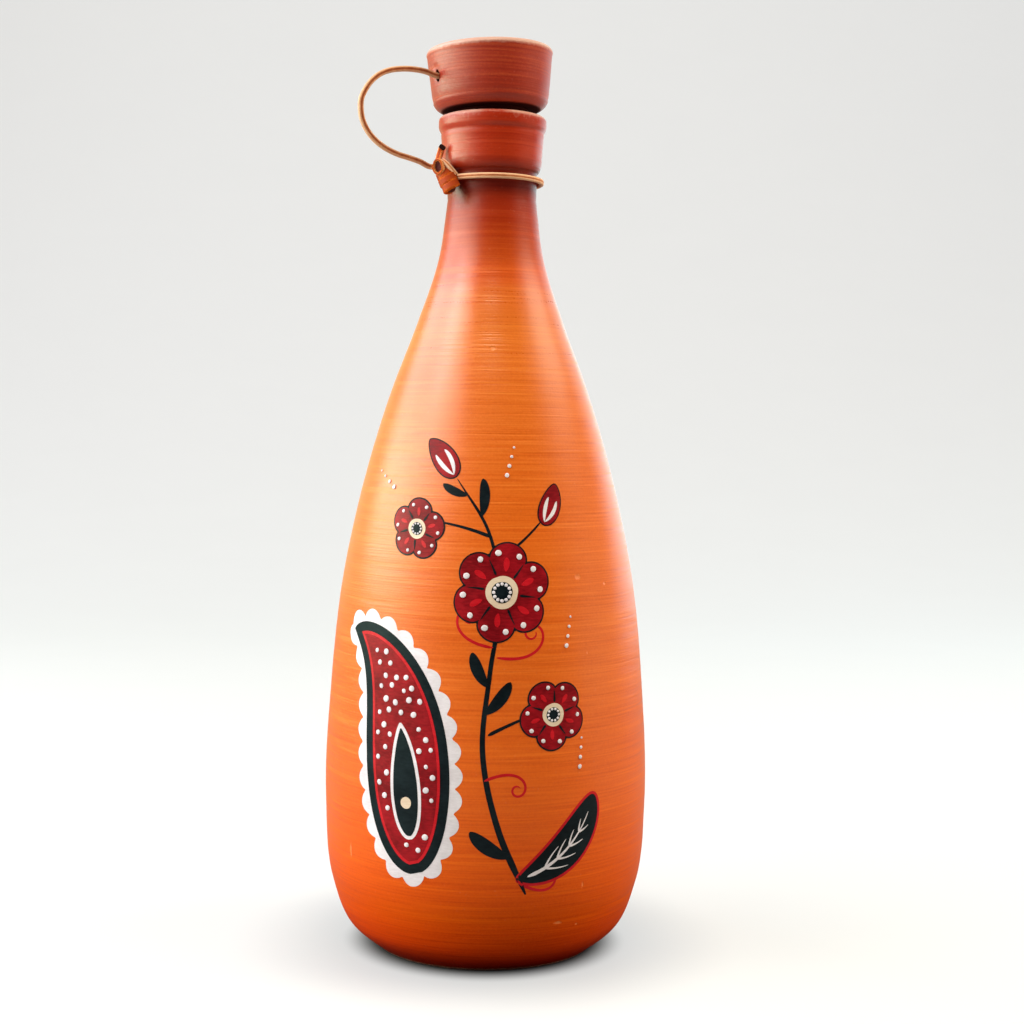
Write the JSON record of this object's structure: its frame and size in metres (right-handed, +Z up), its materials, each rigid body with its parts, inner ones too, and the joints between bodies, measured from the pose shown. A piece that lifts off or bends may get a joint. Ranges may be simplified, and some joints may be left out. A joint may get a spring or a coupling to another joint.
{
  "type": "clay water bottle",
  "caption": "Tall wheel-thrown clay water bottle with a narrow collared neck, a tapered clay stopper and a leather cord that ties the stopper to the neck.",
  "frame": {"origin": "centre of the flat base, on the bottle's axis, on the surface it stands on", "axes": "+Z up along the bottle's axis; the decorated front faces -Y; the stopper's cord hangs out on the -X side"},
  "size_m": [0.1092, 0.1092, 0.3007],
  "materials": {
    "burnished_clay": "unglazed burnished red clay, satin",
    "stopper_clay": "unglazed turned red clay, satin",
    "leather_cord": "tan leather lace, waxed"
  },
  "bodies": {
    "bottle": {"bottle": "burnished_clay"},
    "neck_tie": {"neck_loop": "leather_cord", "neck_knot": "leather_cord", "cord_tail": "leather_cord", "tether_cord": "leather_cord"},
    "stopper": {"stopper": "stopper_clay", "stopper_knot": "leather_cord"}
  },
  "joints": [
    {"name": "tie_turn", "type": "hinge", "parent": "bottle", "child": "neck_tie", "pos_m": [0, 0, 0.2563], "axis": [0, 0, 1], "continuous": true},
    {"name": "stopper_lift", "type": "slide", "parent": "neck_tie", "child": "stopper", "axis": [0, 0, 1], "range_m": [0, 0.028], "deforming": ["tether_cord"]}
  ]
}
